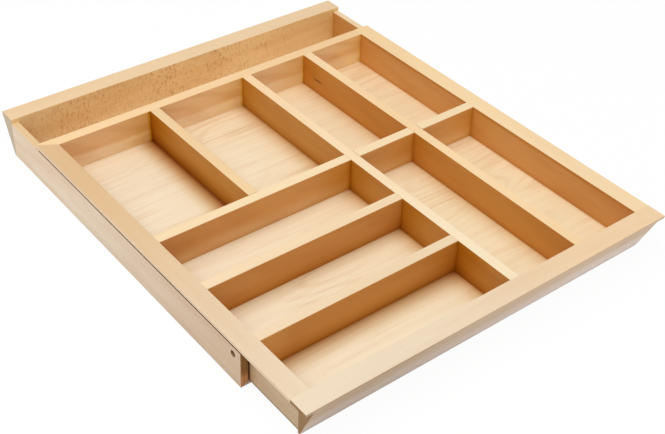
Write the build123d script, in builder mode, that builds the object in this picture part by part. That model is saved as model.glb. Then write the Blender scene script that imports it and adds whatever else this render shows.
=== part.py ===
from build123d import *
import os

# An extending wooden cutlery tray, in millimetres.
# x runs left to right along the slide, y front to back, z up from the drawer's floor.
# The origin is the middle of the whole footprint, with the extension drawn out a little.

# Compartments, inside
pocket_width = 197.5       # left to right, the four pockets beside the inner wall
slot_width = 74.5          # left to right, each cutlery slot
slot_count = 3
wide_cell = 117.0          # front to back, each of the two wide pockets
narrow_cell = 80.5         # front to back, each of the two rows behind them
inner_depth = 40.8         # top of the dividers to the floor

# Boards and strips
strip = 12.0               # thickness of every divider
side_wall = 11.5
inner_wall = 13.5
rim_thickness = 4.0
board_top = 23.5           # the end boards lean out: wide at the top, thin at the foot
board_foot = 2.3
board_round = 1.0
arris = 0.3                # the eased long edges

# Floors
base_thickness = 4.0
base_rebate = 5.5
panel_thickness = 4.0
panel_rebate = 4.0

# Extension
opening_at_rest = 60.0
opening_at_full = 200.0
closing_gap = 0.5
rail_setback = 15.5        # the rails stop this far short of the side walls' length
rail_thickness = 8.5
rail_gap = 1.0             # side wall to rail
rail_headroom = 1.2        # rail to the rim above it
slide_clearance = 0.3      # base to the panel below it, and guide to groove

# Joints in the wood
housing_depth = 3.0
glue_gap = 0.1
overrun = 1.0              # how far a cut runs past the face it opens
lap_share = 0.5            # the crossing dividers halve into each other

# Dowels
wall_dowel_diameter = 6.0
rail_dowel_diameter = 5.0
dowel_in_board = 6.0
dowel_in_wall = 20.0
dowel_end_gap = 0.5
dowel_chamfer = 0.6
dowel_height_shares = (0.38, 0.78)

# Wire staples under the floors
staple_crown = 5.8
staple_width = 1.2
staple_wire = 1.0
staple_length = 12.0
panel_staple_margin = 32.0
panel_staple_count = 6
pocket_staple_shares = (0.25, 0.75)

# Guide screws, one in each rail near its free end
guide_setback = 12.0
guide_drop = 9.5           # below the rail's top
guide_diameter = 4.0
guide_reach = 4.0          # how far the plain tip enters the groove
groove_depth = 4.5
head_diameter = 6.6
head_height = 2.4
head_chamfer = 0.6
bore_diameter = 7.3
bore_depth = 4.6
cross_length = 4.0
cross_width = 0.9
cross_depth = 1.3

# Heights
underside = panel_thickness + slide_clearance
floor = underside + base_thickness
top = floor + inner_depth
ledge = top - rim_thickness
rail_top = ledge - rail_headroom
lap_level = floor + inner_depth * lap_share

# Places from left to right
inner_length = pocket_width + strip + slot_count * slot_width + (slot_count - 1) * strip
overall_length = board_top + opening_at_rest + inner_wall + inner_length + board_top
right_face = overall_length / 2 - board_top
left_face = right_face - inner_length
tray_left = left_face - inner_wall
board_face = tray_left - opening_at_rest
rail_length = right_face - tray_left - rail_setback
rail_end = board_face + rail_length
cross_x = left_face + pocket_width + strip / 2
slot_pitch = slot_width + strip
slot_xs = [cross_x + slot_pitch * (n + 1) for n in range(slot_count - 1)]
slot_middles = [cross_x + slot_pitch * (n + 0.5) for n in range(slot_count)]
guide_x = rail_end - guide_setback

# Places from front to back, the same on both sides of the middle
inner_width = 2 * wide_cell + 2 * narrow_cell + 3 * strip
half_inside = inner_width / 2
wall_outer = half_inside + side_wall
rail_inner = wall_outer + rail_gap
half_width = rail_inner + rail_thickness
pocket_y = -half_inside + wide_cell + strip / 2
front_long_y = pocket_y + strip + wide_cell
back_long_y = front_long_y + strip + narrow_cell
row_middles = [
    pocket_y - (strip + wide_cell) / 2,
    front_long_y - (strip + wide_cell) / 2,
    back_long_y - (strip + narrow_cell) / 2,
    half_inside - narrow_cell / 2,
]

# Joint sizes that several pieces share
stub = housing_depth - glue_gap
housing_width = strip + 2 * glue_gap
guide_z = rail_top - guide_drop
dowel_heights = [rail_top * share for share in dowel_height_shares]


def level(z):
    """The level plane at a height."""
    return Plane.XY.offset(z)


def across(x):
    """The upright plane that crosses the tray at x, seen from the right."""
    return Plane.YZ.offset(x)


def upright(y):
    """The upright plane that runs along the tray at y, seen from the front."""
    return Plane.XZ.offset(-y)


def spread(start, end, count):
    """Evenly spaced places, the first and last at the given ones."""
    return [start + (end - start) * n / (count - 1) for n in range(count)]


def rods(plane, points, diameter, length, mode=Mode.ADD):
    """Round rods, or holes, that stand on a plane at the given points."""
    with BuildSketch(plane) as ends:
        with Locations(*points):
            Circle(diameter / 2)
    extrude(ends.sketch, amount=length, mode=mode)


def block(corner, opposite, low, high, mode=Mode.ADD):
    """A block between two corners of the plan and two heights."""
    with BuildSketch(level(low)) as plan:
        with Locations(((corner[0] + opposite[0]) / 2, (corner[1] + opposite[1]) / 2)):
            Rectangle(abs(opposite[0] - corner[0]), abs(opposite[1] - corner[1]))
    extrude(plan.sketch, amount=high - low, mode=mode)


def housings_in_x_face(x, ys):
    """Cuts a housing into a face that looks along x, for each divider that ends there."""
    half = housing_width / 2
    for y in ys:
        block((x - housing_depth, y - half), (x + housing_depth, y + half), floor, ledge, Mode.SUBTRACT)


def housings_in_y_face(y, xs):
    """Cuts a housing into a face that looks along y, for each divider that ends there."""
    half = housing_width / 2
    for x in xs:
        block((x - half, y - housing_depth), (x + half, y + housing_depth), floor, ledge, Mode.SUBTRACT)


# Staple places: the base's under its walls and the cross divider, the panel's under the rails
base_staple_y = half_inside + base_rebate / 2
base_staple_xs = [left_face + pocket_width * share for share in pocket_staple_shares] + slot_middles
front_wall_staples = [(x, -base_staple_y) for x in base_staple_xs]
back_wall_staples = [(x, base_staple_y) for x in base_staple_xs]
inner_wall_staples = [(left_face - base_rebate / 2, y) for y in row_middles]
cross_staples = [(cross_x, y) for y in row_middles]
panel_staple_y = rail_inner + panel_rebate / 2
panel_staple_xs = spread(board_face + panel_staple_margin, rail_end - panel_staple_margin, panel_staple_count)
front_rail_staples = [(x, -panel_staple_y) for x in panel_staple_xs]
back_rail_staples = [(x, panel_staple_y) for x in panel_staple_xs]


def staples(points, run, z, room=0.0, mode=Mode.ADD):
    """Wire staples driven up from a floor's underside, flush with it, or the cuts that they leave.

    run is the axis that each crown lies along, and room is the gap left round the wire.
    """
    half_crown = staple_crown / 2 + room
    half_wire = staple_width / 2 + room
    leg_inside = staple_crown / 2 - staple_wire - room
    crown = (-half_crown, half_crown, staple_wire)
    legs = [(-half_crown, -leg_inside, staple_length), (leg_inside, half_crown, staple_length)]
    for x, y in points:
        for start, finish, height in [crown] + legs:
            if run == Axis.X:
                corners = (x + start, y - half_wire), (x + finish, y + half_wire)
            else:
                corners = (x - half_wire, y + start), (x + half_wire, y + finish)
            block(*corners, z, z + height + room, mode)


def leaning_section(x, out):
    """The end board's section: upright inside at x, leaning out towards the top."""
    with BuildSketch(Plane.XZ) as section:
        with BuildLine():
            Polyline((x, 0), (x, top), (x + out * board_top, top), (x + out * board_foot, 0), close=True)
        make_face()
    return section.sketch


def dowel_points(y):
    """Where the dowels cross an end board's inner face, for the corner at y."""
    return [(y, z) for z in dowel_heights]


wall_dowel_y = half_inside + side_wall / 2
rail_dowel_y = rail_inner + rail_thickness / 2
wall_dowel_points = dowel_points(-wall_dowel_y) + dowel_points(wall_dowel_y)
rail_dowel_points = dowel_points(-rail_dowel_y) + dowel_points(rail_dowel_y)
wall_dowel_hole = wall_dowel_diameter + 2 * glue_gap
rail_dowel_hole = rail_dowel_diameter + 2 * glue_gap
hole_in_board = dowel_in_board + dowel_end_gap
hole_in_wall = dowel_in_wall + dowel_end_gap


# Right end board: its body stops at the side walls, and only a lip covers the rails' ends
with BuildPart() as right_end_board:
    extrude(leaning_section(right_face, 1), amount=half_width, both=True)
    outer_top_edge = right_end_board.edges().filter_by(Axis.Y).group_by(Axis.Z)[-1].sort_by(Axis.X)[-1]
    fillet(outer_top_edge, radius=board_round)
    for side in (-1, 1):
        lip_foot = (right_face - overrun, side * wall_outer)
        lip_end = (right_face + board_top, side * (half_width + overrun))
        block(lip_foot, lip_end, -overrun, ledge, Mode.SUBTRACT)
    housings_in_x_face(right_face, [front_long_y, back_long_y])
    rods(across(right_face), wall_dowel_points, wall_dowel_hole, hole_in_board, Mode.SUBTRACT)


# Inner wall: the tray's left end, tenoned into the side walls
with BuildPart() as inner_cross_wall:
    block((tray_left, -half_inside), (left_face, half_inside), underside, top)
    top_edges = inner_cross_wall.edges().filter_by(Axis.Y).group_by(Axis.Z)[-1]
    chamfer(top_edges, length=arris)
    block((tray_left, -half_inside - stub), (left_face, half_inside + stub), underside, ledge)
    rebate_corner = (left_face - base_rebate, -half_inside - housing_depth)
    rebate_opposite = (left_face + overrun, half_inside + housing_depth)
    block(rebate_corner, rebate_opposite, underside - overrun, floor, Mode.SUBTRACT)
    housings_in_x_face(left_face, [pocket_y, front_long_y, back_long_y])
    staples(inner_wall_staples, Axis.Y, underside, glue_gap, Mode.SUBTRACT)


def side_wall_part(out, divider_xs, wall_staples):
    """A side wall: base rebate, housings, end tenon and dowel holes, and the guide's groove outside."""
    inner_face = out * half_inside
    outer_face = out * wall_outer
    with BuildPart() as wall:
        block((tray_left, inner_face), (right_face, outer_face), underside, ledge)
        rebate_start = (left_face - base_rebate, inner_face - out * overrun)
        rebate_finish = (right_face + overrun, inner_face + out * base_rebate)
        block(rebate_start, rebate_finish, underside - overrun, floor, Mode.SUBTRACT)
        corner_start = (tray_left - overrun, inner_face - out * overrun)
        corner_finish = (left_face + glue_gap, inner_face + out * housing_depth)
        block(corner_start, corner_finish, underside - overrun, ledge + overrun, Mode.SUBTRACT)
        housings_in_y_face(inner_face, divider_xs)
        own_dowels = dowel_points(out * wall_dowel_y)
        rods(across(right_face), own_dowels, wall_dowel_hole, -hole_in_wall, Mode.SUBTRACT)
        staples(wall_staples, Axis.X, underside, glue_gap, Mode.SUBTRACT)
        groove_width = guide_diameter + 2 * slide_clearance
        groove_left = guide_x - (opening_at_full - opening_at_rest) - groove_width / 2
        groove_right = guide_x + opening_at_rest - closing_gap + groove_width / 2 + slide_clearance
        with BuildSketch(upright(outer_face)) as groove:
            with Locations(((groove_left + groove_right) / 2, guide_z)):
                SlotOverall(groove_right - groove_left, groove_width)
        extrude(groove.sketch, amount=out * groove_depth, mode=Mode.SUBTRACT)
    return wall


front_side_wall = side_wall_part(-1, [cross_x] + slot_xs, front_wall_staples)
back_side_wall = side_wall_part(1, [cross_x], back_wall_staples)


# Rims: they cover each side wall, the sliding gap and the rail
def rim_part(out):
    """The strip that caps one side, eased outside and flush with its neighbours inside."""
    with BuildPart() as rim:
        block((tray_left, out * half_inside), (right_face, out * half_width), ledge, top)
        outer_edge = rim.edges().filter_by(Axis.X).group_by(Axis.Z)[-1].sort_by(Axis.Y)[-1 if out > 0 else 0]
        chamfer(outer_edge, length=arris)
    return rim


front_rim = rim_part(-1)
back_rim = rim_part(1)


# Base: thin plywood, let into the walls from below
with BuildPart() as base_panel:
    base_left = left_face - base_rebate + glue_gap
    base_half = half_inside + base_rebate - glue_gap
    block((base_left, -base_half), (right_face, base_half), underside, floor)
    staples(front_wall_staples + back_wall_staples, Axis.X, underside, glue_gap, Mode.SUBTRACT)
    staples(inner_wall_staples + cross_staples, Axis.Y, underside, glue_gap, Mode.SUBTRACT)


def divider(start, finish, run):
    """A strip between two faces, with a stub at each end that enters a housing.

    start and finish are opposite corners of the visible strip, and run is the axis it lies along.
    """
    stub_x = stub if run == Axis.X else 0
    stub_y = stub if run == Axis.Y else 0
    with BuildPart() as piece:
        block(start, finish, floor, top)
        top_edges = piece.edges().filter_by(run).group_by(Axis.Z)[-1]
        chamfer(top_edges, length=arris)
        stub_start = (start[0] - stub_x, start[1] - stub_y)
        stub_finish = (finish[0] + stub_x, finish[1] + stub_y)
        block(stub_start, stub_finish, floor, ledge)
    return piece


def notched(piece, places, low, high):
    """The piece with a half-lap notch cut at each place, between two heights."""
    half = housing_width / 2
    with BuildPart() as cut_piece:
        add(piece.part)
        for x, y in places:
            block((x - half, y - half), (x + half, y + half), low, high, Mode.SUBTRACT)
    return cut_piece


# Cross divider: front wall to back wall, halved from above where the long dividers cross it
half_strip = strip / 2
long_ys = [front_long_y, back_long_y]
plain_cross = divider((cross_x - half_strip, -half_inside), (cross_x + half_strip, half_inside), Axis.Y)
crossings = [(cross_x, y) for y in long_ys]
with BuildPart() as cross_divider:
    add(notched(plain_cross, crossings, lap_level, top + overrun).part)
    housings_in_x_face(cross_x - half_strip, [pocket_y])
    staples(cross_staples, Axis.Y, underside, glue_gap, Mode.SUBTRACT)


# Long dividers: inner wall to right end board, halved from below over the cross divider
long_dividers = []
for long_y in long_ys:
    plain_long = divider((left_face, long_y - half_strip), (right_face, long_y + half_strip), Axis.X)
    long_dividers.append(notched(plain_long, [(cross_x, long_y)], floor - overrun, lap_level))

with BuildPart() as front_long_divider:
    add(long_dividers[0].part)
    housings_in_y_face(front_long_y - half_strip, slot_xs)

back_long_divider = long_dividers[1]


# Pocket divider: between the two wide pockets
pocket_end = cross_x - half_strip
pocket_divider = divider((left_face, pocket_y - half_strip), (pocket_end, pocket_y + half_strip), Axis.X)


# Slot dividers: front wall to front long divider
slot_back = front_long_y - half_strip
slot_dividers = [
    divider((x - half_strip, -half_inside), (x + half_strip, slot_back), Axis.Y) for x in slot_xs
]


# Dowels: each corner of the tray and of the extension is pinned through its end board's face
with BuildPart() as wall_dowels:
    rods(across(right_face - dowel_in_wall), wall_dowel_points, wall_dowel_diameter, dowel_in_wall + dowel_in_board)
    chamfer(wall_dowels.edges().filter_by(GeomType.CIRCLE), length=dowel_chamfer)

with BuildPart() as rail_dowels:
    rods(across(board_face - dowel_in_board), rail_dowel_points, rail_dowel_diameter, dowel_in_wall + dowel_in_board)
    chamfer(rail_dowels.edges().filter_by(GeomType.CIRCLE), length=dowel_chamfer)


with BuildPart() as base_staples:
    staples(front_wall_staples + back_wall_staples, Axis.X, underside)
    staples(inner_wall_staples + cross_staples, Axis.Y, underside)

with BuildPart() as panel_staples:
    staples(front_rail_staples + back_rail_staples, Axis.X, 0)


# Extension's end board: full height over the whole width, so it closes against the rims
with BuildPart() as extension_end_board:
    extrude(leaning_section(board_face, -1), amount=half_width, both=True)
    outer_top_edge = extension_end_board.edges().filter_by(Axis.Y).group_by(Axis.Z)[-1].sort_by(Axis.X)[0]
    fillet(outer_top_edge, radius=board_round)
    inner_top_edge = extension_end_board.edges().filter_by(Axis.Y).group_by(Axis.Z)[-1].sort_by(Axis.X)[-1]
    chamfer(inner_top_edge, length=arris)
    rods(across(board_face), rail_dowel_points, rail_dowel_hole, -hole_in_board, Mode.SUBTRACT)


def rail_part(out, rail_staples):
    """A rail: panel rebate below, dowel holes at the board, and the guide screw's stepped hole."""
    outer_face = out * half_width
    with BuildPart() as rail:
        block((board_face, out * rail_inner), (rail_end, outer_face), 0, rail_top)
        chamfer(rail.edges().filter_by(Axis.X).group_by(Axis.Z)[-1], length=arris)
        rebate_start = (board_face - overrun, out * (rail_inner - overrun))
        rebate_finish = (rail_end + overrun, out * (rail_inner + panel_rebate))
        block(rebate_start, rebate_finish, -overrun, panel_thickness, Mode.SUBTRACT)
        own_dowels = dowel_points(out * rail_dowel_y)
        rods(across(board_face), own_dowels, rail_dowel_hole, hole_in_wall, Mode.SUBTRACT)
        staples(rail_staples, Axis.X, 0, glue_gap, Mode.SUBTRACT)
        guide_point = [(guide_x, guide_z)]
        rods(upright(outer_face), guide_point, bore_diameter, out * bore_depth, Mode.SUBTRACT)
        guide_hole = guide_diameter + 2 * glue_gap
        rods(upright(outer_face), guide_point, guide_hole, out * rail_thickness, Mode.SUBTRACT)
    return rail


front_rail = rail_part(-1, front_rail_staples)
back_rail = rail_part(1, back_rail_staples)


# Extension's floor: thin plywood between the rails, running in under the base
with BuildPart() as extension_panel:
    panel_half = rail_inner + panel_rebate - glue_gap
    block((board_face, -panel_half), (rail_end, panel_half), 0, panel_thickness)
    staples(front_rail_staples + back_rail_staples, Axis.X, 0, glue_gap, Mode.SUBTRACT)


def guide_screw_part(out):
    """A screw sunk in the rail, whose plain tip runs in the side wall's groove."""
    seat = out * (half_width - bore_depth)
    tip = out * (wall_outer - guide_reach)
    guide_point = [(guide_x, guide_z)]
    with BuildPart() as screw:
        rods(upright(seat), guide_point, head_diameter, -out * head_height)
        head_rim = screw.edges().filter_by(GeomType.CIRCLE).sort_by(Axis.Y)[-1 if out > 0 else 0]
        chamfer(head_rim, length=head_chamfer)
        rods(upright(seat), guide_point, guide_diameter, abs(seat - tip) * out)
        with BuildSketch(upright(seat + out * head_height)) as cross:
            with Locations((guide_x, guide_z)):
                Rectangle(cross_length, cross_width)
                Rectangle(cross_width, cross_length)
        extrude(cross.sketch, amount=out * cross_depth, mode=Mode.SUBTRACT)
    return screw


front_guide_screw = guide_screw_part(-1)
back_guide_screw = guide_screw_part(1)


pieces = {
    "right_end_board": right_end_board,
    "inner_cross_wall": inner_cross_wall,
    "front_side_wall": front_side_wall,
    "back_side_wall": back_side_wall,
    "front_rim": front_rim,
    "back_rim": back_rim,
    "base_panel": base_panel,
    "cross_divider": cross_divider,
    "front_long_divider": front_long_divider,
    "back_long_divider": back_long_divider,
    "pocket_divider": pocket_divider,
    "wall_dowels": wall_dowels,
    "base_staples": base_staples,
    "extension_end_board": extension_end_board,
    "front_rail": front_rail,
    "back_rail": back_rail,
    "extension_panel": extension_panel,
    "front_guide_screw": front_guide_screw,
    "back_guide_screw": back_guide_screw,
    "rail_dowels": rail_dowels,
    "panel_staples": panel_staples,
}
for number, slot_divider in enumerate(slot_dividers, start=1):
    pieces[f"slot_divider_{number}"] = slot_divider

os.makedirs("parts", exist_ok=True)
for name, piece in pieces.items():
    piece.part.label = name
    export_step(piece.part, f"parts/{name}.step")
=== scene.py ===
"""The looks of an extending beech cutlery tray: wood, plywood and steel finishes, light and camera."""
import math

import bpy
from mathutils import Matrix, Vector


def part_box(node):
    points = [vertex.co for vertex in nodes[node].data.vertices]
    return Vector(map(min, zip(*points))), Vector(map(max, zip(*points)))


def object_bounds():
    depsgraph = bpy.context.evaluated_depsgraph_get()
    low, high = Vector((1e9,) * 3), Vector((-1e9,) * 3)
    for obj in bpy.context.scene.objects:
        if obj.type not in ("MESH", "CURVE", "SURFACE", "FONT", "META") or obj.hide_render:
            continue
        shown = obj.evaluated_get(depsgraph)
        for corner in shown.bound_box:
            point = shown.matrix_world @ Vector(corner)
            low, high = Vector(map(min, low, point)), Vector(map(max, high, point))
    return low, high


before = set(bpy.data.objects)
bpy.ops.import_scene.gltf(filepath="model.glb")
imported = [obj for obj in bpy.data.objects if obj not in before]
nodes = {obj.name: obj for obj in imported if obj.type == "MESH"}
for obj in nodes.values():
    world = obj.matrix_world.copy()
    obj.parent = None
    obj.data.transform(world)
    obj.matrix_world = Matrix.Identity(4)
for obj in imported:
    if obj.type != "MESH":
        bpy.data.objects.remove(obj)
cad_low, cad_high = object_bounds()

MM = 0.001

# Boards that cross the tray, with their grain along y; the others run along it, with their grain along x
CROSSING = ("extension_end_board", "inner_cross_wall", "cross_divider", "slot_divider_1", "slot_divider_2",
            "right_end_board")

# Height of the cells' floor, on which the walls and dividers stand
CELL_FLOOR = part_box("base_panel")[1].z

# Colours of lacquered beech, linear: tops in full light; faces inside the cells, painted darker and deeper
# than the tops for the shade there; faces outside, painted greyer than the tops for the white light from the
# floor; end grain
TOP = (0.86, 0.655, 0.41)
CROSS_WALL_TOP = (0.88, 0.62, 0.345)
INSIDE = (0.56, 0.23, 0.045)
OUTSIDE = (0.78, 0.62, 0.43)
END_TONES = ((0.25, 0.12, 0.04), (0.33, 0.175, 0.065))

# Colours of the marks on it: ray flecks lying and standing, a stained streak, painted shade in a bored hole,
# painted shadow in the gaps at the rails
FLECK = (0.30, 0.13, 0.04)
STANDING_FLECK = (0.40, 0.09, 0.0)
PITH_STAIN = (0.16, 0.06, 0.02)
BORE_SHADE = (0.30, 0.20, 0.11)
GAP_SHADOW = (0.10, 0.022, 0.0)

# What multiplies a colour where the grain is deepest, and the painted shadow along a wall's lowest edge
GRAIN = (0.84, 0.70, 0.56)
SOLE_SHADOW = (0.36, 0.37, 0.30)

# What multiplies it as painted shade: in corners, along a board's lower edge at the cells' floor, and as
# painted shadow on the floor beside boards
CORNER_SHADE = (0.71, 0.50, 0.05)
CONTACT_SHADE = (0.72, 0.62, 0.40)
FLOOR_SHADE = (0.33, 0.13, 0.04)

# How far such shade reaches beside a board, and the power by which it falls off: wide, and close to it
FLOOR_WIDE = (36.0 * MM, 3.0)
CORNER_WIDE = (60.0 * MM, 1.5)
NEAR = (6.0 * MM, 2.2)

# How far past a board's ends and into its face its shade still counts
SHADE_MARGIN = 1.0 * MM

# Heights above the cells' floor between which the painted shade along a board's lower edge fades
CONTACT_SHADE_HEIGHTS = (1.0 * MM, 6.5 * MM)

# Places along a board between which a pair of colours drifts, unless the pair names its own; the drift is
# painted light, shade and sheen along the board
DRIFT = (-240.0 * MM, 240.0 * MM)

# How squarely a face must look one way to count as a side, as level, or as an end: hardly, and fully
SIDE_FACING = (0.3, 0.7)
LEVEL_FACING = (0.55, 0.85)
END_FACING = (0.80, 0.95)

# Satin lacquer, and the relief of the grain under it
LACQUER = {"Specular IOR Level": 0.12, "Coat Weight": 0.12, "Coat Roughness": 0.2}
RELIEF_STRENGTH = 0.35

# The stretch of a pattern's values over which a surface turns from smoother to rougher
ROUGHNESS_BAND = (0.3, 0.7)

# Patterns in beech: scale is per metre, and along or up under 1 draws a pattern out that way.
# band is the stretch of its values over which a pattern comes in, and weights its effect below and above that
RING_WOBBLE = dict(scale=26.0, along=0.16)
FIBRES = dict(scale=700.0, along=0.05, detail=3.0, roughness=0.6)
FIBRE_BAND = (0.45, 0.75)
FIBRE_WEIGHTS = (0.0, 0.16)
STREAKS = dict(scale=70.0, along=0.09, band=(0.40, 0.72), weights=(0.0, 0.30))
CLOUDS = dict(scale=11.0, along=0.4, detail=1.0, band=(0.35, 0.70), weights=(-0.12, 0.18))
FOOT_WOBBLE = dict(scale=14.0, along=0.5)
PORES = dict(scale=1500.0, roughness=0.7)
DASHES = dict(scale=900.0, along=0.22, detail=1.0, band=(0.68, 0.76))
STROKES = dict(scale=520.0, along=0.9, up=0.34, roughness=0.6, band=(0.53, 0.66))
STROKE_DRIFTS = dict(scale=17.0, up=0.5, detail=1.0, band=(0.38, 0.62), weights=(0.45, 1.0))
SPECKLE = dict(scale=800.0, along=0.8, roughness=0.7, band=(0.52, 0.68), weights=(0.0, 0.6))

# Growth rings: their period, how far they wander, how narrow their dark part is, their share of the relief
RING_PERIOD = 3.4 * MM
RING_WANDER = 9.0 * MM
RING_SHARPNESS = 2.5
RING_RELIEF_SHARE = 0.6

# The sum of rings and pores over which the end grain goes from its first tone to its second
END_BAND = (0.2, 1.6)

# How far below its height the upper edge of a band of painted light and shade along a board's lower edge
# wanders
FOOT_WANDER = 9.0 * MM

# How much of the grain's figure shows on the planed tops
TOP_FIGURE_SHARE = 0.5

# How far the grain moves across a board, as a share of where along the trunk the board was sawn
ACROSS_SHIFT_SHARE = 1.0 / 3.0

# Roughness of lacquered beech, smoother and on its fibres, and the depth of its relief
BEECH_ROUGHNESS = (0.40, 0.52)
BEECH_RELIEF = 0.05 * MM


class Graph:
    """Short calls for the nodes of one node tree."""

    def __init__(self, tree):
        self.tree = tree

    def add(self, kind, **settings):
        node = self.tree.nodes.new(kind)
        for key, value in settings.items():
            setattr(node, key, value)
        return node

    def feed(self, socket, value):
        if isinstance(value, bpy.types.NodeSocket):
            self.tree.links.new(value, socket)
        else:
            socket.default_value = value

    def math(self, operation, first, second=0.0, clamp=False):
        node = self.add("ShaderNodeMath", operation=operation, use_clamp=clamp)
        self.feed(node.inputs[0], first)
        self.feed(node.inputs[1], second)
        return node.outputs[0]

    def total(self, *terms):
        result = terms[0]
        for term in terms[1:]:
            result = self.math("ADD", result, term)
        return result

    def product(self, *factors):
        result = factors[0]
        for factor in factors[1:]:
            result = self.math("MULTIPLY", result, factor)
        return result

    def squares(self, first, second):
        """The sum of two squares."""
        return self.total(self.math("POWER", first, 2.0), self.math("POWER", second, 2.0))

    def mix(self, share, first, second, blend="MIX"):
        node = self.add("ShaderNodeMix", data_type="RGBA", blend_type=blend)
        self.feed(node.inputs["Factor"], share)
        for socket, value in ((node.inputs[6], first), (node.inputs[7], second)):
            self.feed(socket, (*value, 1.0) if isinstance(value, tuple) else value)
        return node.outputs[2]

    def combine(self, x, y, z):
        node = self.add("ShaderNodeCombineXYZ")
        for socket, value in zip(node.inputs, (x, y, z)):
            self.feed(socket, value)
        return node.outputs[0]

    def noise(self, vector, scale, detail=2.0, roughness=0.5):
        node = self.add("ShaderNodeTexNoise")
        self.feed(node.inputs["Vector"], vector)
        node.inputs["Scale"].default_value = scale
        node.inputs["Detail"].default_value = detail
        node.inputs["Roughness"].default_value = roughness
        return node.outputs["Fac"]

    def spread(self, value, low, high, to_low=0.0, to_high=1.0):
        """Maps low to high onto to_low to to_high, eased and held at the ends."""
        node = self.add("ShaderNodeMapRange", interpolation_type="SMOOTHSTEP")
        for socket, number in zip(node.inputs, (value, low, high, to_low, to_high)):
            self.feed(socket, number)
        return node.outputs[0]

    def ridges(self, phase, sharpness):
        """Lines along the crests of a sine, narrower as sharpness grows."""
        return self.math("POWER", self.spread(self.math("SINE", phase), -1.0, 1.0), sharpness)

    def seen_or_mirrored(self):
        """1 for what the camera or a mirror sees, 0 for the rest of the light."""
        rays = self.add("ShaderNodeLightPath").outputs
        return self.math("MAXIMUM", rays["Is Camera Ray"], rays["Is Glossy Ray"])


class Finish(Graph):
    """The nodes of one material."""

    def __init__(self, name):
        self.material = bpy.data.materials.new(name)
        self.material.use_nodes = True
        super().__init__(self.material.node_tree)
        self.shader = self.tree.nodes["Principled BSDF"]

    def set_shader(self, settings):
        """Sets what is the same all over the surface."""
        for socket, value in settings.items():
            self.shader.inputs[socket].default_value = value

    def grained(self, shade, colour):
        """A colour darkened by the grain's figure."""
        return self.mix(self.math("ADD", shade, 0.0, clamp=True), colour, GRAIN, "MULTIPLY")

    def lacquer(self, colour, fibres, roughness, relief, depth):
        """Satin lacquer over a colour, rougher on the fibres, with the grain's faint relief.

        roughness is (smoother, rougher), and depth is how deep the relief goes.
        """
        self.set_shader(LACQUER)
        self.feed(self.shader.inputs["Base Color"], colour)
        self.feed(self.shader.inputs["Roughness"], self.spread(fibres, *ROUGHNESS_BAND, *roughness))
        bump = self.add("ShaderNodeBump")
        bump.inputs["Strength"].default_value = RELIEF_STRENGTH
        bump.inputs["Distance"].default_value = depth
        self.feed(bump.inputs["Height"], relief)
        self.feed(self.shader.inputs["Normal"], bump.outputs[0])


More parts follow.
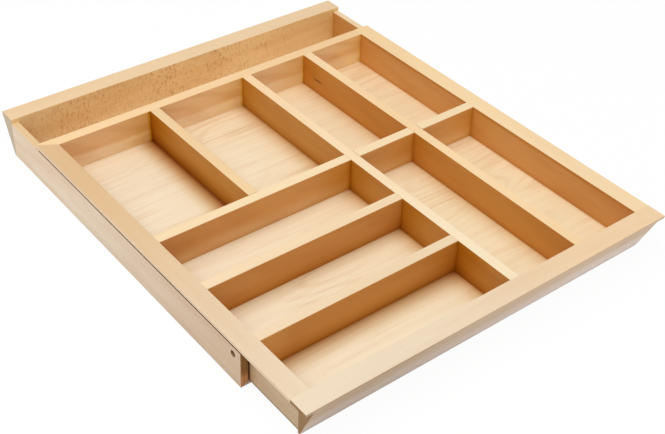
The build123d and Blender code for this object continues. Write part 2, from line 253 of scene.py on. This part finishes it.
class Board:
    """The place in a board along its grain, across it and up, and which way each face looks.

    grain is the axis that it runs along, x or y. shift is where along the trunk the board was sawn, in
    metres, so that no two boards have the same grain.
    """

    def __init__(self, graph, grain, shift):
        self.graph = graph
        coordinates = graph.add("ShaderNodeTexCoord")
        self.position = coordinates.outputs["Object"]
        split = graph.add("ShaderNodeSeparateXYZ")
        graph.feed(split.inputs[0], self.position)
        facing = graph.add("ShaderNodeSeparateXYZ")
        graph.feed(facing.inputs[0], coordinates.outputs["Normal"])
        self.x, self.y = split.outputs[0], split.outputs[1]
        order = (0, 1, 2) if grain == "x" else (1, 0, 2)
        self.true_along, self.true_across, self.up = (split.outputs[n] for n in order)
        self.along = graph.math("ADD", self.true_along, shift)
        self.across = graph.math("ADD", self.true_across, shift * ACROSS_SHIFT_SHARE)
        self.looks_along, self.looks_across, looks_up = (facing.outputs[n] for n in order)
        self.upright = graph.spread(graph.math("ABSOLUTE", looks_up), *LEVEL_FACING, 1.0, 0.0)

    def looks_out(self, outward):
        """1 on faces that look across the grain: to the front or left for -1, to the back or right for 1."""
        return self.graph.spread(self.graph.product(self.looks_across, outward), *SIDE_FACING)

    def pattern(self, scale, along=1.0, up=1.0, detail=2.0, roughness=0.5):
        """Noise drawn out along the grain, or upwards."""
        along = self.graph.math("MULTIPLY", self.along, along)
        up = self.graph.math("MULTIPLY", self.up, up)
        return self.graph.noise(self.graph.combine(along, self.across, up), scale, detail, roughness)

    def marks(self, band, weights=(0.0, 1.0), **pattern):
        """A pattern that comes in over one stretch of its values."""
        return self.graph.spread(self.pattern(**pattern), *band, *weights)

    def rings(self, pith):
        """Growth rings round a pith line that leans slightly off the grain.

        pith is its place across and up, in metres, and its lean.
        """
        graph = self.graph
        across, up, lean = pith
        sideways = graph.math("ADD", self.across, graph.math("MULTIPLY", self.along, lean))
        sideways = graph.math("SUBTRACT", sideways, across)
        upwards = graph.math("SUBTRACT", self.up, up)
        wander = graph.product(self.pattern(**RING_WOBBLE), RING_WANDER)
        radius = graph.total(graph.math("SQRT", graph.squares(sideways, upwards)), wander)
        return graph.ridges(graph.product(radius, 2.0 * math.pi / RING_PERIOD), RING_SHARPNESS)

    def tone(self, colour, across=False):
        """One colour, or a pair that drifts along the board, with the places between which it does so; the
        drift is painted light and shade.
        """
        if not isinstance(colour[0], tuple):
            return colour
        first, second, *places = colour
        place = self.true_across if across else self.true_along
        return self.graph.mix(self.graph.spread(place, *(places or DRIFT)), first, second)

    def shaded(self, tint, shares, wide_fall, colour):
        """Shade beside other boards, at their front faces, or at their right faces where they cross the tray.

        shares gives each board's wide shade and what lies close to it.
        """
        graph = self.graph
        shade = 0.0
        for name, (wide, near) in shares.items():
            low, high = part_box(name)
            if name in CROSSING:
                off = graph.math("SUBTRACT", self.x, high.x)
                aside = graph.math("SUBTRACT", self.y, (low.y + high.y) / 2)
                half = (high.y - low.y) / 2 + SHADE_MARGIN
            else:
                off = graph.math("SUBTRACT", low.y, self.y)
                aside = graph.math("SUBTRACT", self.x, (low.x + high.x) / 2)
                half = (high.x - low.x) / 2 + SHADE_MARGIN
            outside = graph.math("GREATER_THAN", off, -SHADE_MARGIN)
            beside = graph.math("LESS_THAN", graph.math("ABSOLUTE", aside), half)
            for share, (reach, power) in ((wide, wide_fall), (near, NEAR)):
                close = graph.math("SUBTRACT", 1.0, graph.math("DIVIDE", off, reach), clamp=True)
                part = graph.product(graph.math("POWER", close, power), outside, beside, share)
                shade = graph.math("ADD", part, shade)
        darkest = graph.combine(*(graph.math("POWER", channel, shade) for channel in tint))
        return graph.mix(1.0, colour, darkest, "MULTIPLY")

    def painted_shading_band(self, shading_band, level, colour):
        """Painted light and shade where level is below a height: a tint over 1 lightens, under 1 darkens.
        shading_band is (height, half blend, tint).
        """
        height, blend, tint = shading_band
        below = self.graph.spread(level, height - blend, height + blend, 1.0, 0.0)
        return self.graph.mix(below, colour, tint, "MULTIPLY")


def dashes(board, strength, colour):
    """Short dark ray flecks along the grain."""
    graph = board.graph
    return graph.mix(graph.product(board.marks(**DASHES), strength), colour, FLECK)


# Places along a board between which its standing flecks thin out, and their share before and after
THINNING = (40.0 * MM, 190.0 * MM, 1.0, 0.35)


def standing_flecks(board, strength, colour):
    """Rays cut along their height: dark strokes that stand across the grain, in drifts, and fine speckle.

    They thin out towards the board's back end.
    """
    graph = board.graph
    strokes = graph.product(board.marks(**STROKES), board.marks(**STROKE_DRIFTS))
    marks = graph.math("MAXIMUM", strokes, board.marks(**SPECKLE))
    on_side = graph.math("ABSOLUTE", board.looks_across)
    thinning = graph.spread(board.true_along, *THINNING)
    return graph.mix(graph.product(marks, on_side, thinning, strength), colour, STANDING_FLECK)


# A streak's ragged edge: its pattern, how ragged it is, and from where to where the streak fades out
STREAK_EDGE = dict(scale=260.0, detail=3.0, roughness=0.7)
STREAK_RAGGED = 0.9
STREAK_FADE = (0.5, 1.6, 0.85, 0.0)


def stained_streak(board, x, z, half_length, half_height, colour):
    """A small ragged dark streak on a board's face, at a place along it and a height."""
    graph = board.graph
    x_share = graph.math("DIVIDE", graph.math("SUBTRACT", board.true_along, x), half_length)
    z_share = graph.math("DIVIDE", graph.math("SUBTRACT", board.up, z), half_height)
    ragged = graph.product(graph.noise(board.position, **STREAK_EDGE), STREAK_RAGGED)
    mask = graph.spread(graph.total(graph.squares(x_share, z_share), ragged), *STREAK_FADE)
    return graph.mix(mask, colour, PITH_STAIN)


# The painted shadow line under a rim: how far in from the rail's outer face and down from its top it fades,
# how it starts
EDGE_IN = (1.3 * MM, 1.9 * MM)
EDGE_DOWN = (0.7 * MM, 0.4 * MM)
EDGE_START = 0.5 * MM


def painted_rim_gap_shadow(board, side, start, top, colour):
    """A painted shadow: the dark line where a rail's top outer edge slides under the rim, deep in the narrow
    gap there.

    side is the outer face's place in y, start is where along x the line starts, and top is the rail's height.
    """
    graph = board.graph
    inwards = graph.math("ABSOLUTE", graph.math("SUBTRACT", board.true_across, side))
    edge = graph.spread(inwards, *EDGE_IN, 1.0, 0.0)
    under = graph.spread(board.true_along, start, start + EDGE_START)
    high = graph.spread(board.up, *(top - down for down in EDGE_DOWN))
    return graph.mix(graph.product(edge, under, high), colour, GAP_SHADOW)


# Places from a rail's end between which the painted shadow line there comes in and fades out
LINE_IN = (-2.4 * MM, -1.8 * MM)
LINE_OUT = (-0.3 * MM, 3.0 * MM)


def painted_stop_gap_shadow(board, outward, stop, colour):
    """A painted shadow: the dark upright line on the wall in the narrow gap beside a rail's end, where it
    stops at rest.
    """
    graph = board.graph
    after = graph.spread(board.true_along, *(stop + place for place in LINE_IN))
    before = graph.spread(board.true_along, *(stop + place for place in LINE_OUT), 1.0, 0.0)
    return graph.mix(graph.product(after, before, board.looks_out(outward)), colour, GAP_SHADOW)


# How softly a tapered end's tone meets the rest of the board, as a share of the taper
TAPER_BLEND_SHARE = 0.10


def tapered_end(board, first, second, tone, colour):
    """Paler wood at a board's end, on one side of the line between two places on its top, given as (x, y)."""
    graph = board.graph
    run = graph.math("DIVIDE", graph.math("SUBTRACT", board.true_along, first[0]), second[0] - first[0])
    rise = graph.math("DIVIDE", graph.math("SUBTRACT", board.true_across, first[1]), second[1] - first[1])
    pale = graph.spread(graph.math("SUBTRACT", rise, run), -TAPER_BLEND_SHARE, TAPER_BLEND_SHARE)
    return graph.mix(pale, colour, tone)


def painted_bore_shade(board, x, z, reach, colour):
    """Painted shade on the wall of a hole across the board, within a reach of a place along it and a height.
    """
    graph = board.graph
    square = graph.squares(graph.math("SUBTRACT", board.true_along, x), graph.math("SUBTRACT", board.up, z))
    near = graph.math("LESS_THAN", square, reach ** 2)
    wall = graph.spread(graph.math("ABSOLUTE", board.looks_across), *SIDE_FACING, 1.0, 0.0)
    return graph.mix(graph.product(near, wall), colour, BORE_SHADE)


# How far the painted shadow on a wall's lowest edge takes to fade upwards
SOLE_BLEND = 0.4 * MM


def painted_sole_shadow(board, height, colour):
    """Painted shadow along a wall's lowest edge, up to a height."""
    graph = board.graph
    return graph.mix(graph.spread(board.up, height, height + SOLE_BLEND, 1.0, 0.0), colour, SOLE_SHADOW, "MULTIPLY")


def side_colour(board, inside=INSIDE, contact_shade=0.5, meets=None, outward=None, outside=OUTSIDE, foot=None,
                behind=None, sole=None):
    """The colour of a board's faces along the grain, before the grain itself.

    inside is the colour of its upright faces, painted darker and deeper than the top for the shade in the
    cells, and outside of those that look the outward way, painted for the light from the floor; each is one
    colour or a drifting pair, whose drift is painted light and shade. contact_shade is how much painted shade
    lies along the cell's floor, and meets gives the painted shade beside the boards that it meets. foot is a
    band of painted light and shade along its lower edge: a tint over 1 lightens it, under 1 darkens it.
    behind, where given, is the colour of the face towards the tray's back, and sole is the height up to which
    a painted shadow darkens its lowest edge.
    """
    graph = board.graph
    # Painted shade along the lower edge, where the face meets the cells' floor
    fade = graph.spread(board.up, *(CELL_FLOOR + height for height in CONTACT_SHADE_HEIGHTS), contact_shade, 0.0)
    side = graph.mix(fade, board.tone(inside), CONTACT_SHADE, "MULTIPLY")
    if meets:
        side = board.shaded(CORNER_SHADE, meets, CORNER_WIDE, side)
    if outward:
        side = graph.mix(board.looks_out(outward), side, board.tone(outside))
    # Painted light and shade in a band along the lower edge
    if foot:
        wander = graph.product(board.pattern(**FOOT_WOBBLE), FOOT_WANDER)
        side = board.painted_shading_band(foot, graph.total(board.up, wander), side)
    if behind:
        side = graph.mix(board.looks_out(1), side, behind)
    # Painted shadow along the lowest edge
    if sole:
        side = painted_sole_shadow(board, sole, side)
    return side


def end_colour(board, rings, tones, shading_band):
    """The colour of a board's end grain: rings and pores between two tones, and a band of painted light and
    shade if it has one.
    """
    graph = board.graph
    colour = graph.mix(graph.spread(graph.total(rings, board.pattern(**PORES)), *END_BAND), *tones)
    return board.painted_shading_band(shading_band, board.up, colour) if shading_band else colour


def wood(name, grain, shift, pith, ring=0.22, top=TOP, taper=None, flecks=0.15, standing=0.0, streak=None,
         rim_gap_shadow=None, stop_line=None, end=END_TONES, end_foot=None, bore=None, **sides):
    """Lacquered beech board.

    ring, flecks and standing are how strongly its rings and its two kinds of flecks show. top is the colour
    of its top, or a drifting pair whose drift is painted sheen. end is the pair of tones of its end grain,
    and end_foot the band of painted light and shade there. taper, streak, rim_gap_shadow, stop_line and bore
    are what the functions for those marks take, without board and colour; rim_gap_shadow and stop_line paint
    shadow in the gaps at the rails, and bore paints shade in a hole. sides is what side_colour takes.
    """
    graph = Finish(name)
    board = Board(graph, grain, shift)
    rings = board.rings(pith)
    fibres = board.pattern(**FIBRES)
    figure = graph.total(
        graph.product(rings, ring),
        board.marks(**STREAKS),
        graph.spread(fibres, *FIBRE_BAND, *FIBRE_WEIGHTS),
        board.marks(**CLOUDS),
    )
    figure = graph.product(figure, graph.spread(board.upright, 0.0, 1.0, TOP_FIGURE_SHARE, 1.0))
    upper = board.tone(top)
    if taper:
        upper = tapered_end(board, *taper, upper)
    colour = graph.grained(figure, graph.mix(board.upright, upper, side_colour(board, **sides)))
    colour = dashes(board, flecks, colour)
    if standing:
        colour = standing_flecks(board, standing, colour)
    if streak:
        colour = stained_streak(board, *streak, colour)
    # Painted shadow: in the narrow gap under the rim, and on the wall beside the rail's end
    if rim_gap_shadow:
        colour = painted_rim_gap_shadow(board, *rim_gap_shadow, colour)
    if stop_line:
        colour = painted_stop_gap_shadow(board, *stop_line, colour)
    at_end = graph.spread(graph.math("ABSOLUTE", board.looks_along), *END_FACING)
    colour = graph.mix(at_end, colour, end_colour(board, rings, end, end_foot))
    # Painted shade on the wall of the guide screw's hole
    if bore:
        colour = painted_bore_shade(board, *bore, colour)
    relief = graph.total(fibres, graph.product(rings, RING_RELIEF_SHARE))
    graph.lacquer(colour, fibres, BEECH_ROUGHNESS, relief, BEECH_RELIEF)
    return graph.material


# Patterns in plywood: the ground that its contours follow, their patches, and lines along the grain
CONTOUR_GROUND = dict(scale=8.5, along=0.22, roughness=0.45)
CONTOUR_PATCHES = dict(scale=7.0, detail=1.0, band=(0.42, 0.66))
VENEER_FIBRES = dict(scale=330.0, along=0.03, detail=3.0, roughness=0.6)
VENEER_FIBRE_BAND = (0.46, 0.66)
VENEER_FIBRE_WEIGHTS = (0.0, 0.20)
VENEER_STREAKS = dict(scale=90.0, along=0.06, band=(0.42, 0.72), weights=(0.0, 0.16))
VENEER_LINES = dict(scale=210.0, along=0.05, band=(0.52, 0.66))
LINE_PATCHES = dict(scale=9.0, along=0.8, detail=1.0, band=(0.44, 0.60))

# How fast the contours follow each other, how narrow they are, and how much they and the lines count
CONTOUR_PHASE = 150.0
CONTOUR_SHARPNESS = 3.0
CONTOUR_WEIGHT = 0.30
LINE_WEIGHT = 0.28
VENEER_FLECKS = 0.12

# Plies at the panels' edges: the period of a pair of them, and how sharply they meet
PLY_PERIOD = 1.3 * MM
PLY_BAND = (-0.3, 0.3)

# The panels' two tones along the grain, what multiplies them from left to right, and their surface
PANEL_TONES = ((0.89, 0.72, 0.50), (0.95, 0.72, 0.44))
PANEL_TINTS = ((0.97, 1.02, 1.08), (1.00, 1.11, 1.20))
PANEL_ROUGHNESS = (0.44, 0.56)
PANEL_RELIEF = 0.04 * MM


def veneer(name, shift, shares):
    """Rotary cut plywood, its grain along y: broad contours, fine lines, and plies at the edges.

    shares says how much shade lies beside each board that rises from it.
    """
    graph = Finish(name)
    board = Board(graph, "y", shift)
    contours = graph.ridges(graph.product(board.pattern(**CONTOUR_GROUND), CONTOUR_PHASE), CONTOUR_SHARPNESS)
    fibres = board.pattern(**VENEER_FIBRES)
    figure = graph.total(
        graph.product(contours, board.marks(**CONTOUR_PATCHES), CONTOUR_WEIGHT),
        graph.spread(fibres, *VENEER_FIBRE_BAND, *VENEER_FIBRE_WEIGHTS),
        board.marks(**VENEER_STREAKS),
        graph.product(board.marks(**VENEER_LINES), board.marks(**LINE_PATCHES), LINE_WEIGHT),
    )
    tone = graph.mix(1.0, board.tone(PANEL_TONES), board.tone(PANEL_TINTS, across=True), "MULTIPLY")
    face = dashes(board, VENEER_FLECKS, graph.grained(figure, tone))
    face = board.shaded(FLOOR_SHADE, shares, FLOOR_WIDE, face)
    plies = graph.math("SINE", graph.product(board.up, 2.0 * math.pi / PLY_PERIOD))
    edge = graph.mix(graph.spread(plies, *PLY_BAND), END_TONES[0], OUTSIDE)
    graph.lacquer(graph.mix(board.upright, face, edge), fibres, PANEL_ROUGHNESS, fibres, PANEL_RELIEF)
    return graph.material


# The mottled surface of plated steel, and how much rougher its dull patches are
MOTTLE = dict(scale=900.0, detail=3.0, roughness=0.6)
DULL_ROUGHER = 0.2


def steel(name, bright, dull, roughness):
    """Plated steel with a faintly mottled surface."""
    graph = Finish(name)
    mottle = graph.noise(graph.add("ShaderNodeTexCoord").outputs["Object"], **MOTTLE)
    patches = graph.spread(mottle, *ROUGHNESS_BAND)
    rough = graph.spread(mottle, *ROUGHNESS_BAND, roughness, roughness + DULL_ROUGHER)
    graph.feed(graph.shader.inputs["Base Color"], graph.mix(patches, bright, dull))
    graph.feed(graph.shader.inputs["Roughness"], rough)
    graph.set_shader({"Metallic": 1.0})
    return graph.material


def dress(node, material):
    """Gives a CAD node its finish in every slot."""
    materials = nodes[node].data.materials
    if not materials:
        materials.append(material)
    for index in range(len(materials)):
        materials[index] = material


# Places from the frame: the rails, the guide screws' holes and the front rim's taper
front_rail_low, front_rail_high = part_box("front_rail")
back_rail_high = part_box("back_rail")[1]
rim_low, rim_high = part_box("front_rim")
screw_low, screw_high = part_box("front_guide_screw")
guide_hole = ((screw_low.x + screw_high.x) / 2, (screw_low.z + screw_high.z) / 2, screw_high.z - screw_low.z)
rim_corner = (rim_low.x, rim_low.y)
cell_corner = (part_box("inner_cross_wall")[1].x, rim_high.y)

# The painted shadow line under the rims starts this far along them, and the painted shadow along the front
# wall's lowest edge reaches this far up it
LINE_INSET = 5.0 * MM
SOLE_HEIGHT = 1.5 * MM
line_start = rim_low.x + LINE_INSET
sole_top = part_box("front_side_wall")[0].z + SOLE_HEIGHT

# Each board: where it was sawn, its rings, and its colours, which carry painted light and shade in their
# drifts, inside faces and bands along the lower edge
BOARDS = {
    "right_end_board": dict(
        shift=0.31, pith=(0.42, -0.12, 0.03), ring=0.08,
        top=((0.776, 0.64, 0.477), (0.845, 0.61, 0.37), -170.0 * MM, 230.0 * MM),
        outward=1, outside=((0.475, 0.312, 0.174), (0.665, 0.465, 0.284), -190.0 * MM, 110.0 * MM),
        foot=(26.0 * MM, 16.0 * MM, (1.34, 1.61, 2.30)), contact_shade=0.0,
        end=((0.265, 0.134, 0.038), (0.34, 0.188, 0.062))),
    "inner_cross_wall": dict(
        shift=1.70, pith=(-0.10, -0.03, 0.05), ring=0.35, top=CROSS_WALL_TOP,
        inside=((0.84, 0.50, 0.235), (1.00, 0.70, 0.38)),
        foot=(29.0 * MM, 3.0 * MM, (1.11, 1.34, 1.75)), contact_shade=0.15),
    "front_side_wall": dict(
        shift=2.43, pith=(-0.30, 0.02, 0.02), outward=-1, outside=(0.58, 0.43, 0.27),
        stop_line=(-1, front_rail_high.x), sole=sole_top),
    "back_side_wall": dict(
        shift=3.05, pith=(0.33, -0.04, 0.02), inside=(0.66, 0.315, 0.092), outward=1, contact_shade=0.4),
    "front_rim": dict(
        shift=4.61, pith=(-0.36, -0.05, 0.04), ring=0.06, outward=-1,
        top=((0.688, 0.462, 0.246), (0.79, 0.662, 0.495), -165.0 * MM, 395.0 * MM),
        taper=(rim_corner, cell_corner, CROSS_WALL_TOP)),
    "back_rim": dict(
        shift=5.27, pith=(0.35, -0.05, 0.03), ring=0.06, outward=1,
        top=((0.88, 0.63, 0.34), (0.90, 0.68, 0.41))),
    "cross_divider": dict(
        shift=6.13, pith=(0.06, -0.09, 0.03), top=(0.87, 0.675, 0.42),
        inside=((0.69, 0.33, 0.097), (0.79, 0.40, 0.125)),
        foot=(26.0 * MM, 8.0 * MM, (1.08, 1.33, 1.95)), contact_shade=0.35),
    "front_long_divider": dict(
        shift=7.39, pith=(0.10, -0.06, 0.03), top=((0.90, 0.645, 0.38), (0.89, 0.735, 0.51)),
        inside=((0.585, 0.274, 0.060), (0.535, 0.230, 0.044)),
        foot=(22.0 * MM, 10.0 * MM, (0.84, 0.76, 0.41)), contact_shade=0.4),
    "back_long_divider": dict(
        shift=8.02, pith=(0.20, -0.05, 0.02), top=(0.90, 0.655, 0.38),
        inside=((0.60, 0.25, 0.045), (0.58, 0.242, 0.043)),
        streak=(-162.0 * MM, 26.3 * MM, 11.0 * MM, 1.6 * MM)),
    "pocket_divider": dict(
        shift=9.55, pith=(-0.02, -0.06, 0.04), top=(0.82, 0.59, 0.33),
        inside=(0.565, 0.25, 0.039), behind=INSIDE,
        foot=(26.0 * MM, 12.0 * MM, (0.68, 0.54, 0.10))),
    "slot_divider_1": dict(
        shift=10.21, pith=(0.16, -0.05, 0.03), top=(0.84, 0.655, 0.425), inside=(0.69, 0.32, 0.082),
        foot=(24.0 * MM, 10.0 * MM, (0.84, 0.76, 0.45)), contact_shade=0.6),
    "slot_divider_2": dict(
        shift=11.87, pith=(0.25, -0.04, 0.02), top=(0.80, 0.62, 0.41),
        inside=((0.86, 0.44, 0.12), (0.665, 0.295, 0.062), -214.0 * MM, -172.0 * MM),
        foot=(24.0 * MM, 10.0 * MM, (0.82, 0.76, 0.44)), contact_shade=0.7),
    "extension_end_board": dict(
        shift=12.4, pith=(-0.40, -0.10, 0.02), flecks=0.3, standing=0.46,
        top=(0.81, 0.595, 0.365), inside=(0.92, 0.655, 0.325), outward=-1,
        foot=(24.0 * MM, 14.0 * MM, (1.0, 1.06, 1.20)), contact_shade=0.0,
        end=((0.50, 0.39, 0.26), (0.61, 0.49, 0.34))),
    "front_rail": dict(
        shift=13.3, pith=(-0.29, 0.02, 0.01), ring=0.2, top=(0.75, 0.53, 0.30),
        outward=-1, outside=((0.84, 0.69, 0.53), (0.63, 0.47, 0.32)),
        foot=(14.0 * MM, 5.0 * MM, (0.92, 0.92, 0.91)), contact_shade=0.0,
        end=((0.235, 0.11, 0.031), (0.31, 0.15, 0.046)), end_foot=(14.5 * MM, 5.0 * MM, (1.9, 1.75, 2.0)),
        rim_gap_shadow=(front_rail_low.y, line_start, front_rail_high.z), bore=guide_hole),
    "back_rail": dict(
        shift=14.9, pith=(0.29, 0.02, 0.01), inside=(0.60, 0.305, 0.098), outward=1, contact_shade=0.0,
        rim_gap_shadow=(back_rail_high.y, line_start, back_rail_high.z), bore=guide_hole),
}

# Shade on each board beside the boards that it meets: wide, and close to the corner
MEETS = {
    "inner_cross_wall": {"pocket_divider": (0.25, 1.50), "front_long_divider": (0.15, 0.60),
                         "back_long_divider": (0.15, 0.50), "back_side_wall": (0.15, 0.35)},
    "cross_divider": {"front_long_divider": (0.36, 0.90), "back_long_divider": (0.20, 0.50),
                      "back_side_wall": (0.15, 0.50)},
    "slot_divider_1": {"front_long_divider": (0.05, 0.20)},
    "slot_divider_2": {"front_long_divider": (0.22, 0.33)},
    "pocket_divider": {"inner_cross_wall": (1.05, 0.15)},
    "front_long_divider": {"inner_cross_wall": (0.30, 0.40), "cross_divider": (0.36, 0.40),
                           "slot_divider_1": (0.50, 0.30), "slot_divider_2": (0.70, 0.20)},
    "back_long_divider": {"inner_cross_wall": (0.20, 0.10), "cross_divider": (0.20, 0.10)},
    "back_side_wall": {"inner_cross_wall": (0.10, 0.15), "cross_divider": (0.10, 0.15)},
    "extension_end_board": {"back_rail": (0.05, 0.10)},
    "back_rail": {"extension_end_board": (0.05, 0.15)},
}

# Shade on the two panels beside the boards that rise from them: wide, and close to the board
BASE_SHADES = {
    "pocket_divider": (1.05, 0.40),
    "slot_divider_2": (0.48, 0.15),
    "slot_divider_1": (0.14, 0.05),
    "front_long_divider": (0.37, 0.25),
    "back_long_divider": (0.18, 0.12),
    "back_side_wall": (0.0, 0.15),
    "cross_divider": (0.0, 0.05),
}
EXTENSION_SHADES = {"back_rail": (0.15, 0.10)}

for board_name, choice in BOARDS.items():
    grain = "y" if board_name in CROSSING else "x"
    dress(board_name, wood("beech_" + board_name, grain, meets=MEETS.get(board_name), **choice))
dress("base_panel", veneer("plywood_base_panel", 0.77, BASE_SHADES))
dress("extension_panel", veneer("plywood_extension_panel", 3.31, EXTENSION_SHADES))
for dowels in ("wall_dowels", "rail_dowels"):
    dress(dowels, wood("dowel_" + dowels, "x", shift=1.1, pith=(0.0, 0.0, 0.0), inside=TOP))
zinc = steel("zinc_plate", bright=(0.55, 0.54, 0.52), dull=(0.34, 0.33, 0.31), roughness=0.28)
for staples in ("base_staples", "panel_staples"):
    dress(staples, zinc)
bronzed = steel("bronzed_steel", bright=(0.56, 0.46, 0.36), dull=(0.42, 0.34, 0.26), roughness=0.35)
for screw in ("front_guide_screw", "back_guide_screw"):
    dress(screw, bronzed)


# Floor: wide, white and plain; what the camera sees of it is part plain white, so the shadow stays faint
FLOOR_HALF = 6.0
FLOOR_DROP = 0.2 * MM
FLOOR_WHITE_SHARE = 0.95
FLOOR_PAINT = {"Base Color": (0.93, 0.93, 0.93, 1.0), "Roughness": 0.9, "Specular IOR Level": 0.2}
floor_mesh = bpy.data.meshes.new("floor")
corners = [(-FLOOR_HALF, -FLOOR_HALF, 0), (FLOOR_HALF, -FLOOR_HALF, 0), (FLOOR_HALF, FLOOR_HALF, 0),
           (-FLOOR_HALF, FLOOR_HALF, 0)]
floor_mesh.from_pydata(corners, [], [(0, 1, 2, 3)])
floor = bpy.data.objects.new("floor", floor_mesh)
bpy.context.scene.collection.objects.link(floor)
floor.location.z = cad_low.z - FLOOR_DROP
paint = Finish("floor_paint")
paint.set_shader(FLOOR_PAINT)
blend = paint.add("ShaderNodeMixShader")
paint.feed(blend.inputs[0], paint.product(paint.seen_or_mirrored(), FLOOR_WHITE_SHARE))
paint.feed(blend.inputs[1], paint.shader.outputs[0])
paint.feed(blend.inputs[2], paint.add("ShaderNodeEmission").outputs[0])
paint.feed(paint.tree.nodes["Material Output"].inputs["Surface"], blend.outputs[0])
floor_mesh.materials.append(paint.material)


# World: an even white surround, plain white where it is seen or mirrored
SURROUND_LIGHT = 0.60
PLAIN_WHITE = 1.0
world = bpy.data.worlds.new("surround")
bpy.context.scene.world = world
world.use_nodes = True
surround = Graph(world.node_tree)
strength = surround.add("ShaderNodeMapRange")
strength.inputs["To Min"].default_value = SURROUND_LIGHT
strength.inputs["To Max"].default_value = PLAIN_WHITE
surround.feed(strength.inputs["Value"], surround.seen_or_mirrored())
background = world.node_tree.nodes["Background"]
background.inputs["Color"].default_value = (1.0, 1.0, 1.0, 1.0)
surround.feed(background.inputs["Strength"], strength.outputs[0])


# Key light: a square soft lamp above the tray's front, that looks at the tray's middle; metres and watts
LAMP_PLACE = Vector((0.10, -0.55, 1.5))
LAMP_AIM = Vector((0.0, 0.0, 0.0))
LAMP_SIZE = 1.4
LAMP_POWER = 16.0
lamp = bpy.data.lights.new("key_soft_box", "AREA")
lamp.size = LAMP_SIZE
lamp.energy = LAMP_POWER
lamp_holder = bpy.data.objects.new("key_soft_box", lamp)
bpy.context.scene.collection.objects.link(lamp_holder)
lamp_holder.location = LAMP_PLACE
lamp_holder.rotation_mode = "QUATERNION"
lamp_holder.rotation_quaternion = (LAMP_AIM - LAMP_PLACE).to_track_quat("-Z", "Y")


# Camera: the photograph's viewpoint, with a long lens and a slight roll; lens and sensor in millimetres
CAMERA_PLACE = Vector((0.8297, -0.6672, 0.8087))
CAMERA_AIM = Vector((0.08609, -0.04935, 0.0491))
CAMERA_ROLL = math.radians(-2.58)
CAMERA_LENS = 64.46
CAMERA_SENSOR = 36.0
camera_data = bpy.data.cameras.new("photo_camera")
camera_data.lens = CAMERA_LENS
camera_data.sensor_width = CAMERA_SENSOR
camera = bpy.data.objects.new("photo_camera", camera_data)
bpy.context.scene.collection.objects.link(camera)
view_line = CAMERA_AIM - CAMERA_PLACE
turned = Matrix.Rotation(CAMERA_ROLL, 3, view_line) @ view_line.to_track_quat("-Z", "Y").to_matrix()
camera.matrix_world = Matrix.Translation(CAMERA_PLACE) @ turned.to_4x4()
bpy.context.scene.camera = camera

bpy.context.scene.view_settings.view_transform = "Standard"
